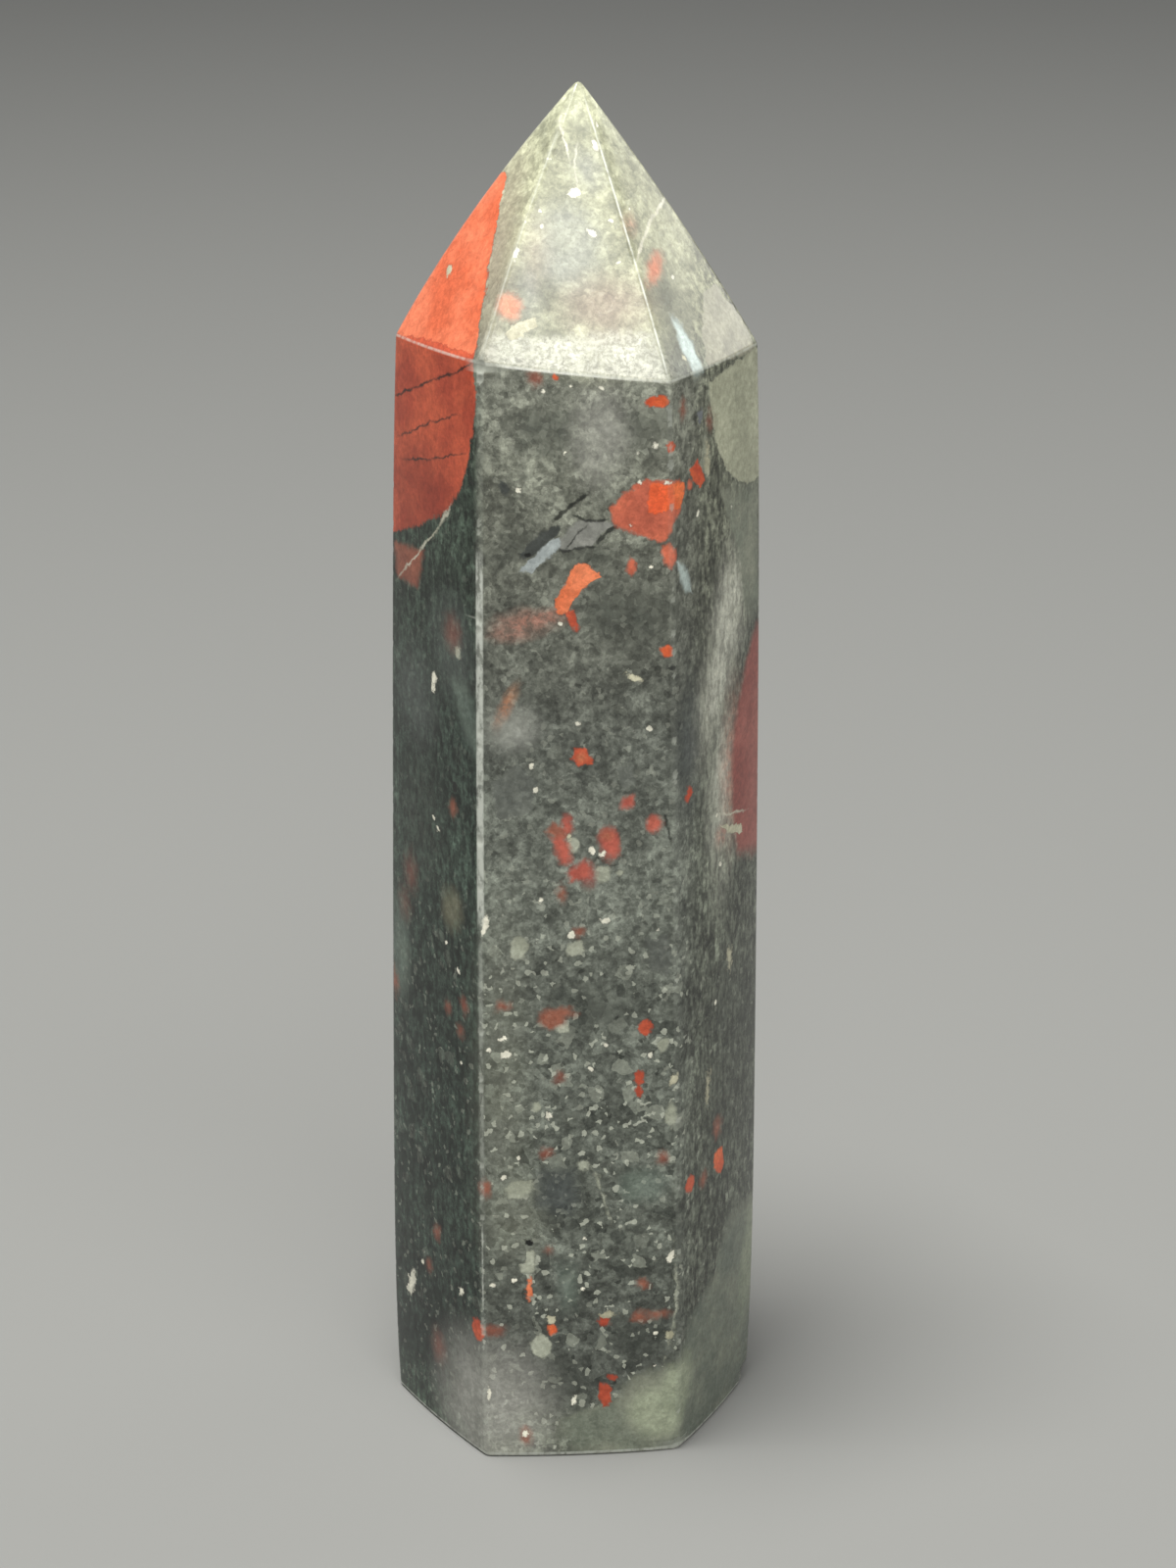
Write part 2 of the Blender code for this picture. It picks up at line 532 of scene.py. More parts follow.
def add(kind, inputs, output=0, **settings):
    """Adds a node with its settings and links, and gives one of its outputs.

    Inputs are numbers, colours or outputs of other nodes, in order, or by name or number."""
    node = tree.nodes.new("ShaderNode" + kind)
    for name, value in settings.items():
        setattr(node, name, value)
    for name, value in inputs.items() if isinstance(inputs, dict) else enumerate(inputs):
        if isinstance(value, bpy.types.NodeSocket):
            tree.links.new(value, node.inputs[name])
        else:
            node.inputs[name].default_value = value
    return node.outputs[output]


object_place = add("TexCoord", {}, "Object")
stone_place = add("VectorMath", {0: object_place, "Scale": 1.0 / MM}, operation="SCALE")
print("the material reads:", object_place.name, "coordinates, in millimetres")

# %% [markdown]
# ## Ragged edges
# No border in this stone is smooth: quartz has grown across all of them. So the fragments are not
# looked up at the point itself but at one that a fine noise has pushed a little to the side. The
# noise gives three numbers from nought to one. Less a half, they push as far one way as the other.

# %% Ragged edges
RAG_SIZE = 0.9
RAG_REACH = 0.62
HALF = (0.5, 0.5, 0.5)

inputs = {"Vector": stone_place, "Scale": 1.0 / RAG_SIZE, "Detail": 4.0, "Roughness": 0.62}
rag = add("TexNoise", inputs, "Color")
rag_parts = add("SeparateColor", (rag,)).node.outputs
rag_vector = add("CombineXYZ", tuple(rag_parts))
rag_push = add("VectorMath", (rag_vector, HALF), operation="SUBTRACT")
ragged = add("VectorMath", (rag_push, (RAG_REACH,) * 3, stone_place), operation="MULTIPLY_ADD")
print("farthest push to each side, in millimetres:", RAG_REACH / 2.0)

# %% [markdown]
# ## The ground
# The ground changes with height: paler and cloudy in the point, khaki under the shoulder, darker and
# smoother in the middle, and sandy below. The left side is darker and greener, partly in its own
# colour and partly as painted shade towards the front; the right side is warmer.

# %% Ground colour
GROUND_BY_HEIGHT = (
    (0.0, "#7f8474"),
    (2.5, "#6f7367"),
    (5.0, "#4f524b"),
    (9.0, "#52554e"),
    (16.0, "#5e6259"),
    (30.0, "#60645b"),
    (44.0, "#6c7066"),
    (52.0, "#5b5e56"),
    (60.0, "#63655b"),
    (70.0, "#76786b"),
    (75.0, "#7e8073"),
    (78.0, "#8f8f79"),
    (84.0, "#93937a"),
    (92.0, "#a6a78c"),
)
WAVE_REACH = 5.0
WAVE_SIZE = 6.0

wave = add("TexNoise", {"Vector": stone_place, "Scale": 1.0 / WAVE_SIZE, "Detail": 2.0, "Roughness": 0.5})
upward = add("VectorMath", (stone_place, (0.0, 0.0, 1.0)), "Value", operation="DOT_PRODUCT")
across = add("VectorMath", (stone_place, (1.0, 0.0, 0.0)), "Value", operation="DOT_PRODUCT")
wavy_height = add("Math", (wave, WAVE_REACH, upward), operation="MULTIPLY_ADD")
height_share = add("MapRange", (wavy_height, WAVE_REACH / 2.0, WAVE_REACH / 2.0 + HEIGHT))
bands = add("ValToRGB", (height_share,))
stops = bands.node.color_ramp.elements
for number, (at_height, hex_colour) in enumerate(GROUND_BY_HEIGHT):
    if number >= len(stops):
        stops.new(at_height / HEIGHT)
    stops[number].position = at_height / HEIGHT
    stops[number].color = paint(hex_colour)
print("ground colours up the stone:", len(stops))

# %% Side faces
LEFT_TINT_AND_SHADE = "#80938d"
RIGHT_TINT = "#dfe0d8"
LEFT_BORDER = (-5.6, -6.6)
RIGHT_BORDER = (6.4, 8.4)
LEFT_TINT_AND_SHADE_FADES = (10.0, 0.0)
MIX_A = 6
MIX_B = 7
SMOOTH = {"interpolation_type": "SMOOTHSTEP"}
COLOURS = {"data_type": "RGBA", "output": 2}

behind = add("VectorMath", (stone_place, (0.0, 1.0, 0.0)), "Value", operation="DOT_PRODUCT")
left_side = add("MapRange", (across, *LEFT_BORDER), **SMOOTH)
right_side = add("MapRange", (across, *RIGHT_BORDER), **SMOOTH)
not_behind = add("MapRange", (behind, *LEFT_TINT_AND_SHADE_FADES), **SMOOTH)
# Painted shade in part: the left side is multiplied darker and greener, fading out towards the back.
left_front_tint_and_shade = add("Math", (left_side, not_behind), operation="MULTIPLY")
inputs = {0: left_front_tint_and_shade, MIX_A: bands, MIX_B: paint(LEFT_TINT_AND_SHADE)}
colour = add("Mix", inputs, blend_type="MULTIPLY", **COLOURS)
inputs = {0: right_side, MIX_A: colour, MIX_B: paint(RIGHT_TINT)}
colour = add("Mix", inputs, blend_type="MULTIPLY", **COLOURS)
print("the front face lies between", LEFT_BORDER[0], "and", RIGHT_BORDER[0])

# %% [markdown]
# ## The grains
# The ground looks like sand and gravel: angular grains of many sizes, packed without gaps. A Voronoi
# pattern gives such grains, with random numbers for each, which make it lighter or darker. The real
# ones also come finer than can be shown: the smallest here are 0.3 mm.


# %% Shades and grains
def shaded(colour, share, dark, light):
    """A colour made darker or lighter, by a share from nought to one."""
    inputs = {0: 1.0, MIX_A: colour, MIX_B: (dark, dark, dark, 1.0)}
    darker = add("Mix", inputs, blend_type="MULTIPLY", **COLOURS)
    inputs = {0: 1.0, MIX_A: colour, MIX_B: (light, light, light, 1.0)}
    lighter = add("Mix", inputs, blend_type="MULTIPLY", **COLOURS)
    return add("Mix", {0: share, MIX_A: darker, MIX_B: lighter}, **COLOURS)


def mosaic(place, size_mm):
    """Packed angular grains of about a given size: three random numbers for each grain."""
    cell_colour = add("TexVoronoi", {"Vector": place, "Scale": 1.0 / size_mm}, "Color")
    return add("SeparateColor", (cell_colour,)).node.outputs


STREAK_STRETCH = (1.0, 1.0, 0.34)
SAND_SIZE = 0.30
GRAVEL_SIZE = 0.85
RUBBLE_SIZE = 2.4

drawn_out = add("VectorMath", (ragged, STREAK_STRETCH), operation="MULTIPLY")
# Each one: what it is read from, the size of its lumps in millimetres, its detail and roughness.
NOISES = (
    (stone_place, 3.4, 3.0, 0.55),
    (stone_place, 0.65, 5.0, 0.75),
    (ragged, 0.24, 2.0, 0.7),
    (drawn_out, 0.42, 4.0, 0.65),
)
cloud, mottle, grit, streaks = [
    add("TexNoise", {"Vector": place, "Scale": 1.0 / lump_mm, "Detail": detail, "Roughness": roughness})
    for place, lump_mm, detail, roughness in NOISES
]
sand = mosaic(ragged, SAND_SIZE)
gravel = mosaic(ragged, GRAVEL_SIZE)
rubble = mosaic(ragged, RUBBLE_SIZE)
print("grains, in millimetres:", SAND_SIZE, GRAVEL_SIZE, RUBBLE_SIZE)

# %% Where it is sandy
SANDY_BELOW = (48.0, 34.0)
LEAST_SANDY = 0.3
SIDES_SANDY = 0.25
RARE_BORDER = 0.03

by_height = add("MapRange", (wavy_height, *SANDY_BELOW, LEAST_SANDY, 1.0), **SMOOTH)
side_face = add("Math", (left_side, right_side), operation="ADD")
by_side = add("MapRange", (side_face, 0.0, 1.0, 1.0, SIDES_SANDY), **SMOOTH)
sandy = add("Math", (by_height, by_side), operation="MULTIPLY")


def rare_grains(colour, number, rarity, hex_colour, strength):
    """Shows the few grains whose random number is highest."""
    is_rare = add("MapRange", (number, rarity, rarity + RARE_BORDER, 0.0, strength), **SMOOTH)
    share = add("Math", (is_rare, sandy), operation="MULTIPLY")
    return add("Mix", {0: share, MIX_A: colour, MIX_B: paint(hex_colour)}, **COLOURS)


print("sandy below, in millimetres:", SANDY_BELOW)

# %% Grains in the ground
CLOUD_RANGE = (0.30, 0.70)
MOTTLE_RANGE = (0.34, 0.66)
STREAK_RANGE = (0.38, 0.62)
POINT_STARTS = (74.5, 77.5)
GRAINS_IN_POINT = 0.5

plain = shaded(colour, add("MapRange", (cloud, *CLOUD_RANGE), **SMOOTH), 0.74, 1.26)
plain = shaded(plain, rubble[0], 0.84, 1.16)
colour = shaded(plain, gravel[0], 0.80, 1.20)
colour = shaded(colour, add("MapRange", (mottle, *MOTTLE_RANGE), **SMOOTH), 0.70, 1.28)
colour = shaded(colour, sand[0], 0.70, 1.26)
colour = rare_grains(colour, gravel[1], 0.94, "#969a8b", 0.5)
colour = rare_grains(colour, gravel[2], 0.91, "#2c2f2b", 0.55)
colour = rare_grains(colour, sand[1], 0.93, "#b6b9a8", 0.7)
colour = rare_grains(colour, sand[2], 0.94, "#20231f", 0.5)
grain_share = add("MapRange", (upward, *POINT_STARTS, 1.0, GRAINS_IN_POINT), **SMOOTH)
colour = add("Mix", {0: grain_share, MIX_A: plain, MIX_B: colour}, **COLOURS)
streaked = shaded(colour, add("MapRange", (streaks, *STREAK_RANGE), **SMOOTH), 0.50, 1.62)
colour = add("Mix", {0: side_face, MIX_A: colour, MIX_B: streaked}, **COLOURS)
print("nodes in the material:", len(tree.nodes))

# %% [markdown]
# ## Fragments
# Each fragment is one of three simple solids. A bead is a ball or an egg. A block has a straight-sided
# outline, given by its corners, that is carried into the stone. A vein is a thin sheet between two
# places. Outlines and sizes are as the camera sees them, in pixels of the photograph, and the lines
# of sight turn them into millimetres on the stone. Their borders are made ragged by a fine noise.


# %% Kinds of fragment
class Mineral(NamedTuple):
    """What a fragment is made of: two shades, half the width of its border in millimetres, how dark
    the seam round it is, how strongly it covers the ground, what makes it patchy, and how far its
    outline crumbles, in millimetres."""

    pale: str
    deep: str
    border: float
    seam: float = 0.0
    strength: float = 1.0
    patches: str = ""
    crumble: float = 0.8


# Most of these are kinds of stone. A few are painted light and shade instead: the sheen on the right face,
# the near-white reflection above the shoulder, the shade low on the red flank and the lighter red on the
# point.
MINERALS = {
    "moss": Mineral("#8a8d7b", "#717768", 0.8, strength=0.9, crumble=1.6),
    "fern": Mineral("#74796a", "#60675c", 0.6, strength=0.8, crumble=1.6),
    "pale_moss": Mineral("#a2a98f", "#8a917a", 0.5, strength=0.8),
    "ash": Mineral("#6b6e66", "#595c56", 0.10, strength=0.75),
    "veil": Mineral("#a8aa98", "#94967f", 1.6, strength=0.22),
    "lichen": Mineral("#7a8779", "#657167", 0.6, strength=0.55),
    "olive": Mineral("#7f7c64", "#6c6a54", 0.5, strength=0.6),
    "ink": Mineral("#4c5150", "#3b403f", 0.6, strength=0.6),
    "haze": Mineral("#a9a89e", "#8f8e86", 1.2, strength=0.55),
    "fog": Mineral("#b4b3a9", "#9a998f", 2.4, strength=0.62),
    "mist": Mineral("#7e847e", "#6e746e", 1.2, strength=0.28),
    "milk": Mineral("#9c9e94", "#909287", 1.2, strength=0.7),
    # Painted sheen: pale streaks where the right face would mirror the light.
    "painted_sheen": Mineral("#e0e0ce", "#c4c4b2", 1.3, strength=0.9, patches="streaks"),
    # Painted reflection: the near-white band on the front of the point, above the shoulder.
    "painted_reflection": Mineral("#c6c5b3", "#b1b0a0", 0.5, strength=0.95, patches="grit"),
    "clay": Mineral("#b5b69c", "#a3a48c", 0.08, seam=0.3, strength=0.95),
    "dusk": Mineral("#444841", "#32352f", 1.0, strength=0.6, patches="mottle"),
    "beige": Mineral("#a9a692", "#9b9885", 0.08, seam=0.1, strength=0.8),
    "pitch": Mineral("#20221f", "#161715", 0.06, crumble=0.4),
    "crack": Mineral("#262824", "#1b1c19", 0.06, strength=0.85, crumble=0.15),
    "slate": Mineral("#7e8184", "#64686a", 0.07, seam=0.35),
    "pewter": Mineral("#a6adaa", "#8e9593", 0.1, seam=0.15),
    "flint": Mineral("#8b8b83", "#75766e", 0.1, seam=0.2),
    "char": Mineral("#474a46", "#363935", 0.12, crumble=0.6),
    "ice": Mineral("#bfccc4", "#a2aea8", 0.25, seam=0.1),
    "dove": Mineral("#b3b6a3", "#999c89", 0.12, seam=0.25, strength=0.9),
    "blush": Mineral("#ba8270", "#a26c5a", 0.6, strength=0.75, patches="mottle"),
    "petal": Mineral("#c8aa9a", "#b69a8a", 1.2, strength=0.25),
    "rust": Mineral("#9c5c46", "#82493a", 0.3, strength=0.85),
    "maroon": Mineral("#9c5a50", "#8a4840", 0.45),
    "smear": Mineral("#8a5648", "#74483c", 0.6, strength=0.7),
    "rose": Mineral("#bb6250", "#a24e42", 0.3, seam=0.15),
    "shrimp": Mineral("#da8c6c", "#c87858", 0.4, strength=0.85),
    "brick": Mineral("#c0583b", "#a4442f", 0.1, seam=0.25),
    # Painted shade: darkens the lower part of the red flank.
    "painted_flank_shade": Mineral("#84392a", "#7a3024", 1.6, strength=0.5),
    # Painted light: a lighter copy of the flank's brick red, for its part on the point.
    "red_with_painted_light": Mineral("#d07150", "#bf5c3c", 0.06, seam=0.25),
    "russet": Mineral("#cc6c50", "#b05a44", 0.14, seam=0.25),
    "jasper": Mineral("#d8683c", "#be4a2c", 0.1, seam=0.2),
    "scarlet": Mineral("#ee7a44", "#dc5c34", 0.08, seam=0.15),
    "coral": Mineral("#e6845a", "#d66c42", 0.08, seam=0.25),
    "tan": Mineral("#c48a62", "#a06848", 0.3, strength=0.8, patches="mottle"),
    "cream": Mineral("#cac6aa", "#aaa68c", 0.07, seam=0.2),
    "chalk": Mineral("#f7f3de", "#dad7c4", 0.06, seam=0.2),
    "quartz": Mineral("#dad7c2", "#b9b5a0", 0.06, strength=0.9, crumble=0.2),
}
PATTERNS = {"mottle": (mottle, 0.3), "streaks": (streaks, 0.55), "grit": (grit, 0.55)}
crumble = add("Math", (mottle, 0.5), operation="SUBTRACT")


# %% Pixels to places
def plane_crossing(px_right, px_down):
    """Where a line of sight passes the middle of the tower, for pixels just off the stone."""
    sight = sight_line(px_right, px_down)
    return CAMERA_PLACE - sight * (CAMERA_PLACE.y / sight.y)


def seen_on_stone(px_right, px_down):
    """The place that a pixel shows: on the stone, or beside it in the plane of its outline."""
    place, facing = stone_at(px_right, px_down)
    if place is None:
        return plane_crossing(px_right, px_down), None
    return place, facing


def mm_a_pixel(place):
    """How many millimetres one pixel of the photograph spans at a place."""
    depth = (camera_turn.inverted() @ (place - CAMERA_PLACE)).z
    return -depth / FOCAL_PX


print("millimetres a pixel at the middle:", round(mm_a_pixel(stone_at(*MIDDLE_PX)[0]), 3))


# %% Beads
def scaled_place(centre, half_sizes, place):
    """A place seen from a fragment's centre, in its half sizes."""
    shrink = Vector([1.0 / size for size in half_sizes])
    back = Vector([-coordinate * share for coordinate, share in zip(centre, shrink)])
    return add("VectorMath", (place, shrink, back), operation="MULTIPLY_ADD")


def local_place(centre, axes, half_sizes):
    """The stone's own place, seen from a fragment's centre along its axes, in its half sizes."""
    turn = Matrix(axes).transposed().to_euler()
    inputs = {"Vector": ragged, "Center": centre, "Rotation": turn}
    turned = add("VectorRotate", inputs, rotation_type="EULER_XYZ", invert=True)
    return scaled_place(centre, half_sizes, turned)


def outside(local, reach):
    """How far a place lies outside a ball round the fragment's centre."""
    away = add("VectorMath", (local,), "Value", operation="LENGTH")
    return add("Math", (away, reach), operation="SUBTRACT")


def bead(px_right, px_down, px_wide, px_tall=None, tilt=0.0, deep=1.2):
    """How far the stone lies outside a ball or an egg. Tilt turns its top to the left, in degrees."""
    place, _ = seen_on_stone(px_right, px_down)
    scale = mm_a_pixel(place)
    half_wide = px_wide * scale / 2.0
    if px_tall is None:
        away = add("VectorMath", (ragged, place), "Value", operation="DISTANCE")
        return add("Math", (away, half_wide), operation="SUBTRACT")
    half_tall = px_tall * scale / 2.0
    sight = (place - CAMERA_PLACE).normalized()
    small = min(half_wide, half_tall)
    half_deep = deep * max(half_wide, half_tall)
    if tilt == 0.0:
        upright = half_tall / math.hypot(sight.x, sight.y)
        half_sizes = Vector((half_wide, half_deep, upright)) / small
        return outside(scaled_place(place, half_sizes, ragged), small)
    level = camera_turn @ Vector((math.cos(math.radians(tilt)), math.sin(math.radians(tilt)), 0.0))
    level = (level - sight * level.dot(sight)).normalized()
    half_sizes = Vector((half_wide, half_tall, half_deep)) / small
    return outside(local_place(place, (level, level.cross(sight), -sight), half_sizes), small)


# %% Veins
VEIN_DEEP = 1.5
HALF_WITH_OVERLAP = 0.58


def vein(px_wide, from_px, to_px):
    """How far the stone lies outside a thin sheet that shows as a line between two pixels."""
    start, _ = seen_on_stone(*from_px)
    end, _ = seen_on_stone(*to_px)
    middle = (start + end) / 2.0
    sight = (middle - CAMERA_PLACE).normalized()
    along = (end - start).normalized()
    side = sight.cross(along).normalized()
    half_wide = px_wide * mm_a_pixel(middle) / 2.0
    half_long = (end - start).length * HALF_WITH_OVERLAP
    half_sizes = Vector((half_long, half_wide, VEIN_DEEP)) / half_wide
    return outside(local_place(middle, (along, side, along.cross(side)), half_sizes), half_wide)


# %% Blocks
OUTLINE_STEPS = 72
PARALLEL = 1e-9
CORNER_SLACK = 1e-6


def in_plane(px_corner, origin, facing):
    """Where the line of sight through a pixel crosses a plane."""
    sight = sight_line(*px_corner)
    return CAMERA_PLACE + sight * ((origin - CAMERA_PLACE).dot(facing) / sight.dot(facing))


def crossing_reach(corners, angle):
    """How far a straight-sided outline lies from its middle, in one direction."""
    ray = Vector((math.cos(angle), math.sin(angle)))
    reach = 0.0
    for start, end in zip(corners, corners[1:] + corners[:1]):
        side = end - start
        slant = ray.x * side.y - ray.y * side.x
        if abs(slant) < PARALLEL:
            continue
        distance = (start.x * side.y - start.y * side.x) / slant
        share = (start.x * ray.y - start.y * ray.x) / slant
        if distance > 0.0 and -CORNER_SLACK <= share <= 1.0 + CORNER_SLACK:
            reach = max(reach, distance)
    return reach


def reach_by_angle(turn, reaches):
    """A node that gives an outline's reach, as a share of the longest, for a share of a full turn."""
    outline = add("FloatCurve", {"Value": turn})
    mapping = outline.node.mapping
    curve = mapping.curves[0]
    for step in range(1, OUTLINE_STEPS):
        curve.points.new(step / OUTLINE_STEPS, 0.5)
    for point, reach in zip(curve.points, reaches):
        point.location.y = reach / max(reaches)
        point.handle_type = "VECTOR"
    mapping.update()
    return outline


def block(*px_corners, deep=1.2, wrap=False):
    """How far the stone lies outside a block whose outline has these corners, in order. With wrap,
    corners beside the stone lie in the plane of the others, so that it goes on round the edge."""
    seen = [seen_on_stone(*corner) for corner in px_corners]
    places = [place for place, _ in seen]
    facing = sum((facing for _, facing in seen if facing), Vector()).normalized()
    if wrap:
        places = [in_plane(corner, places[0], facing) for corner in px_corners]
    centre = sum(places, Vector()) / len(places)
    level = Vector((0.0, 0.0, 1.0)).cross(facing).normalized()
    rising = facing.cross(level)
    flat = [Vector(((place - centre).dot(level), (place - centre).dot(rising))) for place in places]
    half_wide = max(abs(corner.x) for corner in flat)
    half_tall = max(abs(corner.y) for corner in flat)
    corners = [Vector((corner.x / half_wide, corner.y / half_tall)) for corner in flat]
    angles = [(step / OUTLINE_STEPS - 0.5) * 2.0 * math.pi for step in range(OUTLINE_STEPS + 1)]
    reaches = [crossing_reach(corners, angle) for angle in angles]
    half_sizes = Vector((half_wide, half_tall, deep * max(half_wide, half_tall)))
    local = local_place(centre, (level, rising, facing), half_sizes)
    local_y = add("VectorMath", (local, (0.0, 1.0, 0.0)), "Value", operation="DOT_PRODUCT")
    local_x = add("VectorMath", (local, (1.0, 0.0, 0.0)), "Value", operation="DOT_PRODUCT")
    angle = add("Math", (local_y, local_x), operation="ARCTAN2")
    turn = add("Math", (angle, 0.5 / math.pi, 0.5), operation="MULTIPLY_ADD")
    reach = add("Math", (reach_by_angle(turn, reaches), max(reaches)), operation="MULTIPLY")
    return add("Math", (outside(local, reach), min(half_wide, half_tall)), operation="MULTIPLY")


# %% Inlay
SEAM_WIDTH = 0.14
SEAM_COLOUR = "#2a2c28"
PATCH_RANGE = (0.38, 0.62)
SHADE_RANGE = (0.35, 0.65)
DARK_GRAIN = 0.90
LIGHT_GRAIN = 1.09


def inlay(colour, mineral, solids):
    """Sets fragments of one mineral into the ground colour."""
    nearest = solids[0]
    for solid in solids[1:]:
        nearest = add("Math", (nearest, solid), operation="MINIMUM")
    nearest = add("Math", (crumble, mineral.crumble, nearest), operation="MULTIPLY_ADD")
    if mineral.seam:
        seam = add("MapRange", (nearest, SEAM_WIDTH, 0.0, 0.0, mineral.seam), **SMOOTH)
        colour = add("Mix", {0: seam, MIX_A: colour, MIX_B: paint(SEAM_COLOUR)}, **COLOURS)
    share = add("MapRange", (nearest, mineral.border, -mineral.border, 0.0, mineral.strength), **SMOOTH)
    if mineral.patches:
        pattern, least = PATTERNS[mineral.patches]
        patchy = add("MapRange", (pattern, *PATCH_RANGE, least, 1.0), **SMOOTH)
        share = add("Math", (share, patchy), operation="MULTIPLY")
    by_cloud = add("MapRange", (cloud, *SHADE_RANGE), **SMOOTH)
    inputs = {0: by_cloud, MIX_A: paint(mineral.pale), MIX_B: paint(mineral.deep)}
    shade = shaded(add("Mix", inputs, **COLOURS), sand[0], DARK_GRAIN, LIGHT_GRAIN)
    return add("Mix", {0: share, MIX_A: colour, MIX_B: shade}, **COLOURS)


# %% Places of fragments
class Places(NamedTuple):
    """Where one mineral shows, in pixels of the photograph.

    An outline is given by its corners. A spot is given by the pixel of its middle and its width, and
    after them its height, its tilt in degrees and its depth as a share of its size. A line is given
    by its width and the pixels that it runs through. Deep and wrap are for the outlines.
    """

    outlines: tuple = ()
    spots: tuple = ()
    lines: tuple = ()
    deep: float = 1.2
    wrap: bool = False


def solids_at(places):
    """The blocks, beads and veins of one mineral."""
    solids = [block(*outline, deep=places.deep, wrap=places.wrap) for outline in places.outlines]
    solids += [bead(*spot) for spot in places.spots]
    for px_wide, *stops in places.lines:
        solids += [vein(px_wide, start, end) for start, end in zip(stops, stops[1:])]
    return solids


def inlay_all(colour, places_by_mineral):
    """Sets several minerals into the ground colour, each over the ones before it."""
    for name, places in places_by_mineral.items():
        colour = inlay(colour, MINERALS[name], solids_at(places))
    print(", ".join(places_by_mineral), "- nodes in the material:", len(tree.nodes))
    return colour


# %% [markdown]
# ## Cloudy areas
# First come the broad, soft-edged areas: the foot's olive and pale clouds, the dark gritty belt over
# it, the smooth patches of both side faces and a painted sheen on the right face. The crisp
# fragments lie on top of them.

# %% Broad clouds
BROAD_CLOUDS = {
    "dusk": Places(spots=(
        (570, 1412, 80, 56), (650, 1360, 80, 46), (556, 440, 66, 56), (525, 560, 66, 36, 30),
        (568, 1214, 56, 46), (640, 625, 100, 70), (700, 772, 36, 90), (750, 1070, 60, 220),
        (506, 285, 22, 150, -9), (598, 568, 56, 26), (430, 830, 50, 120), (660, 436, 50, 50),
        (600, 1030, 90, 50), (682, 310, 36, 110, 20),
    )),
    "haze": Places(spots=((613, 445, 50, 84), (526, 742, 24, 22), (618, 434, 36, 46))),
    "fog": Places(spots=((495, 1445, 130, 140), (560, 1495, 170, 50))),
    "mist": Places(spots=((460, 660, 54, 90), (424, 705, 54, 90))),
    "veil": Places(spots=((511, 1110, 44, 250), (522, 1240, 60, 90))),
    # Painted sheen on the right face.
    "painted_sheen": Places(spots=(
        (746, 622, 36, 140, -10, 0.5), (731, 700, 36, 120, -10, 0.5), (736, 800, 24, 120, 0, 0.5),
    )),
    "milk": Places(spots=(
        (580, 250, 70, 80), (600, 174, 26, 44, 0, 0.5), (540, 296, 12, 56, 0, 0.5), (520, 744, 44, 36),
    )),
}
colour = inlay_all(colour, BROAD_CLOUDS)

# %% [markdown]
# ## Painted reflection under the point
# Just above the shoulder the front of the point is almost white with a painted reflection of the
# light, and the white ends where the edge of the shoulder runs. So its block is cut by a plane: of
# two distances, outside the block and below the plane, the greater one counts.

# %% Painted reflection
PAINTED_REFLECTION_PX = ((504, 340), (560, 346), (640, 338), (668, 342), (684, 400), (600, 396), (490, 388))
PAINTED_REFLECTION_DEEP = 0.5
REFLECTION_CUT_SHARPNESS = 8.0
SHOULDER_SLOPE = (-0.112, 0.0, -1.0)
SHOULDER_LEVEL = 75.75

downward = add("VectorMath", (stone_place, SHOULDER_SLOPE), "Value", operation="DOT_PRODUCT")
below_shoulder = add("Math", (downward, SHOULDER_LEVEL), operation="ADD")
# Painted reflection: the block of near-white above the shoulder.
painted_reflection = block(*PAINTED_REFLECTION_PX, deep=PAINTED_REFLECTION_DEEP)
reflection_cut = add("Math", (below_shoulder, REFLECTION_CUT_SHARPNESS), operation="MULTIPLY")
cut_reflection = add("Math", (painted_reflection, reflection_cut), operation="MAXIMUM")
colour = inlay(colour, MINERALS["painted_reflection"], [cut_reflection])
print("frost above, in millimetres:", SHOULDER_LEVEL)

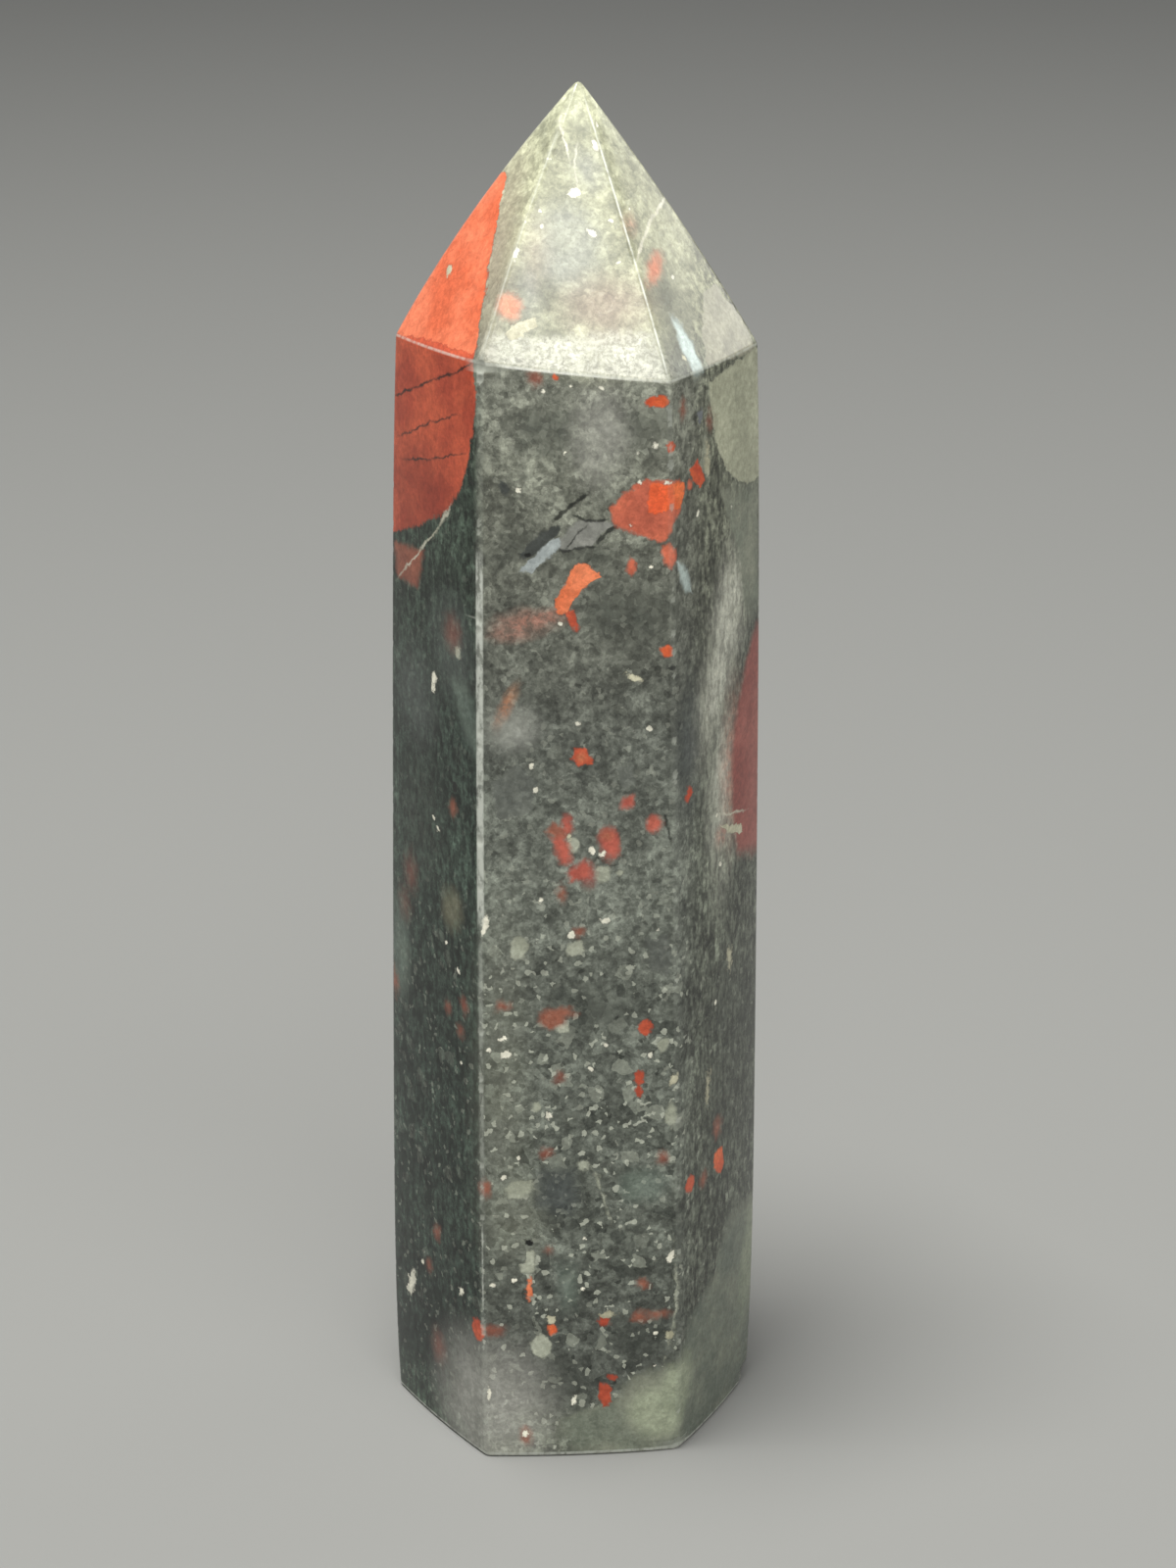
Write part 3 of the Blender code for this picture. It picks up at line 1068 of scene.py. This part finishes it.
# %% Smooth patches
SMOOTH_PATCHES = {
    "beige": Places(
        outlines=(
            ((718, 298), (730, 290), (757, 325), (776, 356), (740, 368), (722, 374), (716, 340)),
        ),
        deep=0.5,
    ),
    "ash": Places(outlines=(
        ((660, 958), (680, 954), (687, 975), (682, 995), (664, 990)),
        ((628, 782), (646, 780), (648, 800), (636, 806)),
        ((500, 800), (530, 780), (548, 800), (540, 830), (510, 836)),
    )),
    "lichen": Places(
        outlines=(
            ((460, 690), (476, 700), (487, 738), (487, 776), (474, 750)),
            ((632, 1212), (636, 1198), (660, 1192), (680, 1200), (678, 1216), (668, 1224), (640, 1226)),
            ((568, 1294), (588, 1296), (587, 1330), (574, 1334)),
        ),
        spots=((408, 965, 34, 96, 0, 0.5),),
    ),
    "olive": Places(spots=((461, 927, 26, 40),)),
    "ink": Places(
        outlines=(((546, 1194), (586, 1194), (591, 1224), (580, 1240), (548, 1232)),),
        spots=((703, 768, 20, 100),),
    ),
    "moss": Places(outlines=(
        (
            (560, 1452), (622, 1434), (640, 1405), (684, 1385), (700, 1350), (730, 1305), (742, 1250),
            (775, 1225), (775, 1400), (700, 1500), (600, 1500),
        ),
        ((735, 500), (790, 495), (790, 620), (760, 625), (752, 560)),
    )),
    "fern": Places(
        outlines=(
            (
                (704, 1345), (732, 1300), (744, 1245), (770, 1225), (790, 1250), (796, 1400),
                (790, 1500), (700, 1500), (696, 1385),
            ),
        ),
        wrap=True,
    ),
    "pale_moss": Places(spots=(
        (690, 1425, 34, 120, -2, 0.4), (764, 1280, 18, 140, -3, 0.4), (675, 1440, 70, 50, 0, 0.4),
    )),
    "blush": Places(
        outlines=(
            ((503, 648), (512, 632), (535, 625), (575, 620), (577, 632), (540, 648), (515, 655)),
        ),
        spots=((643, 228, 8, 13), (737, 852, 22, 20), (748, 780, 22, 130)),
    ),
    "petal": Places(spots=((620, 312, 80, 50), (546, 254, 16, 34), (508, 250, 26, 150, -10))),
}
colour = inlay_all(colour, SMOOTH_PATCHES)

# %% [markdown]
# ## The large fragments
# The largest one is brick-red jasper. It takes up the upper left of the tower, from the left side of
# the column over the shoulder on to the point, with dark cracks across it. Its lower part on the
# column is darkened with painted shade, and on the point it is a lighter copy, painted light where
# the point's facets face the light.

# %% Red flank
RED_FLANK_PX = (
    (519, 174), (512, 200), (509, 220), (505, 240), (500, 262), (496, 290), (491, 318), (485, 361),
    (486, 400), (484, 430), (480, 455), (476, 478), (470, 500), (462, 514), (450, 526), (425, 540),
    (402, 545), (380, 552), (345, 528), (332, 450), (322, 390), (352, 330), (400, 250), (470, 165),
)
RED_FLANK_DEEP = 0.8
FLANK_SHADE_PX = (430, 505, 110, 110)
FLANK_SHADE_CUT_SHARPNESS = 12.0

red_flank = block(*RED_FLANK_PX, deep=RED_FLANK_DEEP)
flank_cut = add("Math", (red_flank, FLANK_SHADE_CUT_SHARPNESS), operation="MULTIPLY")
colour = inlay(colour, MINERALS["brick"], [red_flank])
# Painted shade: a soft bead darkens the lower part of the red flank, and is cut off where the flank ends.
cut_flank_shade = add("Math", (bead(*FLANK_SHADE_PX), flank_cut), operation="MAXIMUM")
colour = inlay(colour, MINERALS["painted_flank_shade"], [cut_flank_shade])
print("corners of the red flank:", len(RED_FLANK_PX))

# %% Flank on the point
# Painted light: the part of the red flank on the point is a lighter copy of its brick red.
FLANK_ON_POINT = {
    "red_with_painted_light": Places(
        outlines=(
            (
                (519, 174), (512, 200), (509, 220), (505, 240), (500, 262), (496, 290), (491, 318),
                (485, 362), (462, 356), (430, 345), (385, 336), (345, 322), (400, 250), (470, 165),
            ),
        ),
        deep=0.8,
    ),
}
colour = inlay_all(colour, FLANK_ON_POINT)

# %% Grey, slate and dark fragments
GREY_AND_DARK = {
    "clay": Places(
        outlines=(
            (
                (722, 392), (745, 372), (772, 352), (792, 400), (796, 440), (790, 475), (770, 492),
                (756, 492), (742, 480), (731, 452),
            ),
        ),
        deep=0.8,
        wrap=True,
    ),
    "dove": Places(
        outlines=(
            ((515, 1212), (524, 1203), (543, 1204), (545, 1214), (532, 1224), (518, 1222)),
            ((537, 1275), (544, 1276), (547, 1290), (541, 1301), (532, 1298), (530, 1291), (536, 1288)),
        ),
        spots=(
            (585, 862, 14, 16), (615, 892, 18, 16), (633, 890, 8), (529, 968, 17, 22),
            (595, 1189, 12, 10), (548, 1130, 10), (676, 1066, 11, 12), (685, 1138, 12, 24),
            (552, 1374, 22, 22), (573, 1050, 14, 10), (720, 465, 5, 42, 3), (588, 968, 18, 14, 20),
            (467, 665, 9, 13),
        ),
        lines=(
            (1.8, (690, 1297), (691, 1320), (689, 1345), (683, 1368)),
            (1.8, (608, 1200), (613, 1212), (618, 1230)),
        ),
    ),
    "slate": Places(spots=((714, 425, 5, 14),)),
    "ice": Places(outlines=(
        ((686, 325), (693, 330), (706, 350), (717, 378), (708, 380), (697, 358)),
        ((690, 572), (697, 575), (703, 588), (706, 604), (700, 603), (694, 590)),
    )),
    "flint": Places(outlines=(
        (
            (566, 553), (580, 540), (592, 531), (620, 532), (626, 537), (612, 546), (606, 555),
            (597, 559), (584, 562), (573, 562),
        ),
    )),
    "pewter": Places(outlines=(
        ((529, 582), (547, 566), (561, 552), (571, 548), (574, 556), (557, 571), (543, 586)),
    )),
    "char": Places(
        outlines=(
            (
                (529, 568), (539, 554), (552, 544), (565, 535), (575, 535), (567, 546), (556, 556),
                (546, 564), (535, 571),
            ),
        ),
        spots=((514, 498, 8, 14, 15),),
    ),
    "pitch": Places(spots=(
        (538, 566, 8, 5), (685, 682, 9, 4), (540, 1268, 8, 6), (464, 802, 9, 10), (622, 853, 9, 4),
    )),
    "crack": Places(lines=(
        (5.4, (565, 530), (579, 520)), (3.8, (579, 520), (588, 512), (598, 503)),
        (3.6, (586, 527), (597, 531), (609, 532), (621, 529)),
        (4.2, (627, 538), (617, 545), (609, 554)),
        (3.4, (571, 562), (584, 562), (597, 558), (609, 558)),
        (1.8, (579, 558), (588, 546), (597, 538)),
        (2.6, (403, 402), (425, 396), (440, 388), (463, 381), (480, 372)),
        (2.4, (412, 443), (440, 431), (462, 425)), (2.2, (417, 468), (440, 469), (467, 463)),
        (2.6, (677, 830), (680, 842), (684, 858)),
    )),
}
colour = inlay_all(colour, GREY_AND_DARK)

# %% [markdown]
# ## The hidden half
# The photograph shows nothing of the back. The same kinds of fragment are strewn through that half. A
# Voronoi pattern packs it with angular cells, and the few cells with the highest random number are
# given a mineral.

# %% Strewn fragments
BACK_STARTS = 0.8
CELL_EDGE = 12.0
LARGE_CELL = 2.9
SMALL_CELL = 1.4

in_front = add("Math", (BACK_STARTS, behind), operation="SUBTRACT")
in_flank = add("Math", (0.0, red_flank), operation="SUBTRACT")
left_out = add("Math", (in_front, in_flank), operation="MAXIMUM")
large_cells = mosaic(ragged, LARGE_CELL)
small_cells = mosaic(ragged, SMALL_CELL)


def strewn(cells, share_of_cells):
    """Below nought in a few cells of a mosaic, at the back of the stone and outside its red flank."""
    threshold = CELL_EDGE * (1.0 - share_of_cells)
    beyond = add("Math", (cells, -CELL_EDGE, threshold), operation="MULTIPLY_ADD")
    return add("Math", (beyond, left_out), operation="MAXIMUM")


STREWN = (
    ("clay", large_cells[0], 0.03),
    ("slate", large_cells[1], 0.03),
    ("brick", large_cells[2], 0.05),
    ("jasper", small_cells[0], 0.03),
    ("cream", small_cells[1], 0.015),
)
for name, cells, share_of_cells in STREWN:
    colour = inlay(colour, MINERALS[name], [strewn(cells, share_of_cells)])
print("kinds of strewn fragment:", len(STREWN))

# %% [markdown]
# ## Red and orange fragments
# These give bloodstone its name: spots of iron-red jasper, vivid where the iron is pure, brown or
# pink where it fades into the ground.

# %% Faded reds
FADED_REDS = {
    "smear": Places(spots=(
        (461, 646, 17, 28), (419, 890, 10, 24), (413, 921, 8, 18), (448, 1374, 12, 22),
    )),
    "rust": Places(
        outlines=(
            ((402, 552), (432, 562), (426, 600), (406, 588)),
            ((558, 848), (565, 838), (580, 845), (578, 855), (570, 858)),
        ),
        spots=(
            (563, 1040, 24, 20), (573, 1034, 22, 9), (571, 1099, 10, 8), (558, 1177, 12, 10),
            (676, 1181, 12, 12), (513, 1026, 12, 10), (590, 951, 10, 9), (495, 1213, 10, 14),
            (462, 825, 7, 12), (403, 1000, 6, 18), (474, 1027, 7, 14), (457, 1027, 6, 10),
            (470, 1052, 6, 10), (438, 1291, 6, 10), (446, 1258, 6, 12), (653, 1343, 14, 10),
            (670, 1341, 18, 6), (655, 1310, 10, 8), (537, 1465, 9, 16), (503, 1358, 18, 8),
            (560, 1275, 8, 6), (718, 1203, 7, 12), (697, 418, 6, 12), (724, 430, 5, 12),
            (573, 912, 6, 12), (732, 1150, 8, 16), (546, 386, 12, 14),
        ),
    ),
    "maroon": Places(
        outlines=(
            (
                (760, 685), (768, 648), (780, 624), (798, 640), (802, 730), (800, 830), (792, 862),
                (772, 868), (753, 868), (748, 830), (748, 760), (753, 722),
            ),
        ),
        spots=((600, 893, 12, 18),),
        deep=0.5,
        wrap=True,
    ),
}
colour = inlay_all(colour, FADED_REDS)

# %% Bright reds
BRIGHT_REDS = {
    "rose": Places(
        outlines=(
            ((562, 857), (573, 853), (580, 862), (584, 877), (577, 883), (568, 873)),
            ((578, 890), (596, 877), (604, 884), (600, 896), (584, 899)),
            ((633, 824), (636, 815), (647, 812), (646, 822), (639, 826)),
        ),
        spots=((579, 842, 10, 16), (622, 861, 20, 32, 8), (668, 841, 14, 15)),
    ),
    "brick": Places(
        outlines=(
            ((576, 622), (586, 622), (592, 640), (583, 640)),
            ((612, 1412), (622, 1413), (624, 1430), (617, 1437), (610, 1425)),
            ((586, 764), (597, 763), (605, 778), (590, 782), (584, 774)),
        ),
        spots=(
            (588, 640, 6, 8), (658, 1049, 15, 15), (652, 1100, 12, 16), (652, 1112, 6, 12),
            (625, 1405, 9, 6), (704, 1208, 12, 18), (617, 1347, 13, 11), (488, 1356, 16, 22),
        ),
    ),
    "russet": Places(
        outlines=(
            (
                (624, 530), (624, 519), (630, 509), (642, 502), (655, 491), (680, 490), (698, 492),
                (698, 504), (692, 526), (686, 541), (674, 555), (666, 550), (653, 547), (640, 542),
                (631, 540),
            ),
        ),
        spots=((683, 567, 15, 23), (644, 577, 9, 15), (704, 494, 7, 8)),
    ),
    "jasper": Places(
        outlines=(
            ((659, 411), (664, 405), (678, 403), (683, 409), (676, 416), (664, 416)),
            ((703, 478), (712, 470), (719, 488), (714, 497), (708, 490)),
            ((728, 1193), (729, 1177), (737, 1170), (738, 1188), (735, 1197)),
        ),
        spots=(
            (684, 456, 9, 12), (703, 811, 8, 14, -15), (681, 664, 14, 12), (567, 384, 5, 7),
            (563, 1357, 9, 12),
        ),
    ),
    "scarlet": Places(outlines=(
        (
            (662, 522), (661, 508), (664, 493), (698, 492), (698, 504), (694, 518), (684, 520),
            (674, 524),
        ),
    )),
    "coral": Places(
        outlines=(
            (
                (566, 620), (571, 604), (577, 592), (581, 583), (587, 577), (600, 575), (608, 581),
                (615, 588), (606, 593), (598, 596), (592, 604), (585, 614), (579, 624), (570, 626),
            ),
        ),
        spots=((540, 1315, 6, 22, -3),),
    ),
    "shrimp": Places(spots=((520, 313, 22, 25), (668, 274, 13, 33, -18))),
    "tan": Places(spots=((619, 852, 9, 7), (593, 773, 8, 8), (517, 720, 12, 40, -25))),
}
colour = inlay_all(colour, BRIGHT_REDS)

# %% [markdown]
# ## Pale fragments, veins and specks
# Last come the palest bits: cream and white chips, thin veins, and specks of quartz as small as a
# fifth of a millimetre that catch the light.

# %% Cream and white
PALE_BITS = {
    "quartz": Places(lines=(
        (1.7, (457, 520), (448, 538), (430, 560), (412, 582)),
        (3.6, (678, 203), (665, 222), (656, 245), (649, 268)),
        (2.2, (573, 116), (570, 126), (575, 138), (580, 160)), (2.4, (738, 831), (757, 827)),
        (1.6, (588, 154), (587, 172), (588, 190)),
    )),
    "cream": Places(
        outlines=(
            ((516, 340), (530, 328), (546, 324), (548, 332), (532, 344), (520, 348)),
            ((734, 843), (757, 841), (757, 850), (746, 850)),
        ),
        spots=(
            (646, 691, 15, 7, -30), (698, 366, 6), (513, 196, 6), (458, 277, 6, 9), (744, 978, 5, 20),
            (687, 1102, 6, 12, -20), (562, 1347, 8, 9), (683, 1362, 8, 8), (619, 1341, 18, 6),
            (581, 853, 5, 5), (722, 466, 5, 38), (722, 1112, 3, 26, -5),
        ),
    ),
    "chalk": Places(spots=(
        (587, 196, 10, 9), (526, 260, 6, 18, -12), (607, 148, 7, 10, 15), (604, 238, 10, 5, -35),
        (615, 871, 8, 5, 10), (604, 868, 6, 7), (420, 1308, 8, 25, -12), (471, 1318, 5, 8),
        (516, 1076, 12, 8), (514, 1060, 7, 6), (494, 947, 6, 20, -12), (443, 697, 4, 14),
        (584, 953, 7, 7), (618, 939, 8, 6), (542, 782, 5), (537, 1463, 6, 7), (499, 1422, 4, 8),
        (586, 1430, 7, 9, 10), (684, 1282, 5, 10, -20), (560, 1139, 6, 7), (654, 492, 6, 4, -40),
        (679, 494, 8, 4),
    )),
}
colour = inlay_all(colour, PALE_BITS)

# %% Specks
SPECKS_PX = (
    (553, 215), (552, 231), (624, 225), (632, 268), (642, 213), (687, 284), (536, 226), (608, 149),
    (560, 162), (610, 128), (582, 394), (553, 400), (614, 395), (530, 500), (576, 462), (651, 463),
    (669, 456), (664, 577), (572, 636), (590, 738), (547, 806), (662, 743), (747, 517), (712, 525),
    (731, 833), (673, 949), (514, 1203), (529, 1182), (618, 1067), (602, 1091), (663, 1077), (499, 1072),
    (730, 1023), (526, 1305), (503, 1312), (596, 1264), (595, 1315), (669, 1360), (671, 1393), (442, 833),
    (447, 845), (455, 962), (468, 990), (471, 1085), (431, 1287), (644, 537), (551, 920), (735, 882),
)
SPECK_WIDTH_PX = 4.2

specks = [bead(*place, SPECK_WIDTH_PX) for place in SPECKS_PX]
colour = inlay(colour, MINERALS["chalk"], specks)
print("specks:", len(specks))

# %% [markdown]
# ## The polish
# A tower is polished last, on a soft wheel with a fine paste, so its faces mirror the room, a little
# unevenly where grains differ in hardness. The edges carry a painted highlight, and the nicks stay
# dull. The skin carries both as attributes. The finest pits are left to a bump of a few thousandths
# of a millimetre. Real ones are finer still: they are drawn coarse enough here to show.

# %% Painted edge highlights and worn nicks
GRIT_RANGE = (0.35, 0.65)
HIGHLIGHT_BREAKS = (0.34, 0.56)
LEAST_HIGHLIGHT = 0.3
POINT_RIDGES_START = (74.0, 77.0)
HIGHLIGHT_ON_COLUMN = "#b6b9ae"
HIGHLIGHT_ON_POINT = "#d8dace"
WORN_COLOUR = "#a8ab9f"
WORN_STRENGTH = 0.5

colour = shaded(colour, add("MapRange", (mottle, *MOTTLE_RANGE), **SMOOTH), 0.88, 1.12)
colour = shaded(colour, add("MapRange", (grit, *GRIT_RANGE), **SMOOTH), 0.92, 1.08)
# Painted highlight on the rounded edges, broken up by streaks, paler on the point's ridges than on the
# column.
painted_edge_highlight = add("Attribute", {}, "Fac", attribute_name="painted_edge_highlight")
broken = add("MapRange", (streaks, *HIGHLIGHT_BREAKS, LEAST_HIGHLIGHT, 1.0), **SMOOTH)
painted_edge_highlight = add("Math", (painted_edge_highlight, broken), operation="MULTIPLY")
on_point = add("MapRange", (upward, *POINT_RIDGES_START), **SMOOTH)
inputs = {0: on_point, MIX_A: paint(HIGHLIGHT_ON_COLUMN), MIX_B: paint(HIGHLIGHT_ON_POINT)}
highlight_colour = add("Mix", inputs, **COLOURS)
colour = add("Mix", {0: painted_edge_highlight, MIX_A: colour, MIX_B: highlight_colour}, **COLOURS)
worn = add("Attribute", {}, "Fac", attribute_name="worn")
worn_share = add("Math", (worn, WORN_STRENGTH), operation="MULTIPLY")
colour = add("Mix", {0: worn_share, MIX_A: colour, MIX_B: paint(WORN_COLOUR)}, **COLOURS)
print("nodes in the material:", len(tree.nodes))

# %% Gloss
SOFT_GRAINS = (0.3, 0.7)
ROUGHNESS = (0.10, 0.19)
WORN_ROUGHER = 0.3
PIT_SIZE = 0.35
PIT_DEPTH = 0.005
QUARTZ_IOR = 1.54
GLOSS_LEVEL = 0.32

polish = add("MapRange", (mottle, *SOFT_GRAINS, *ROUGHNESS), **SMOOTH)
rougher = add("Math", (worn, WORN_ROUGHER), operation="MULTIPLY")
polish = add("Math", (polish, rougher), operation="ADD")
pits = add("TexNoise", {"Vector": stone_place, "Scale": 1.0 / PIT_SIZE, "Detail": 3.0, "Roughness": 0.6})
relief = add("Bump", {"Strength": 1.0, "Distance": PIT_DEPTH * MM, "Height": pits})
tree.links.new(relief, shader.inputs["Normal"])
tree.links.new(colour, shader.inputs["Base Color"])
tree.links.new(polish, shader.inputs["Roughness"])
shader.inputs["Metallic"].default_value = 0.0
shader.inputs["IOR"].default_value = QUARTZ_IOR
shader.inputs["Specular IOR Level"].default_value = GLOSS_LEVEL
print("nodes in the finished material:", len(tree.nodes))

# %% [markdown]
# ## The finished tower
# The skin becomes a piece of its own, in place of the imported node, which is hidden. It rides on the
# one body and carries the stone's material.

# %% Hand over
bmesh.ops.scale(skin, verts=skin.verts, vec=(MM, MM, MM))
tower_mesh = bpy.data.meshes.new("polished_tower")
skin.to_mesh(tower_mesh)
skin.free()
tower_mesh.shade_smooth()
tower_mesh.materials.append(stone)
tower = bpy.data.objects.new("polished_tower", tower_mesh)
bpy.context.scene.collection.objects.link(tower)
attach(tower, "root")
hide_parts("tower")
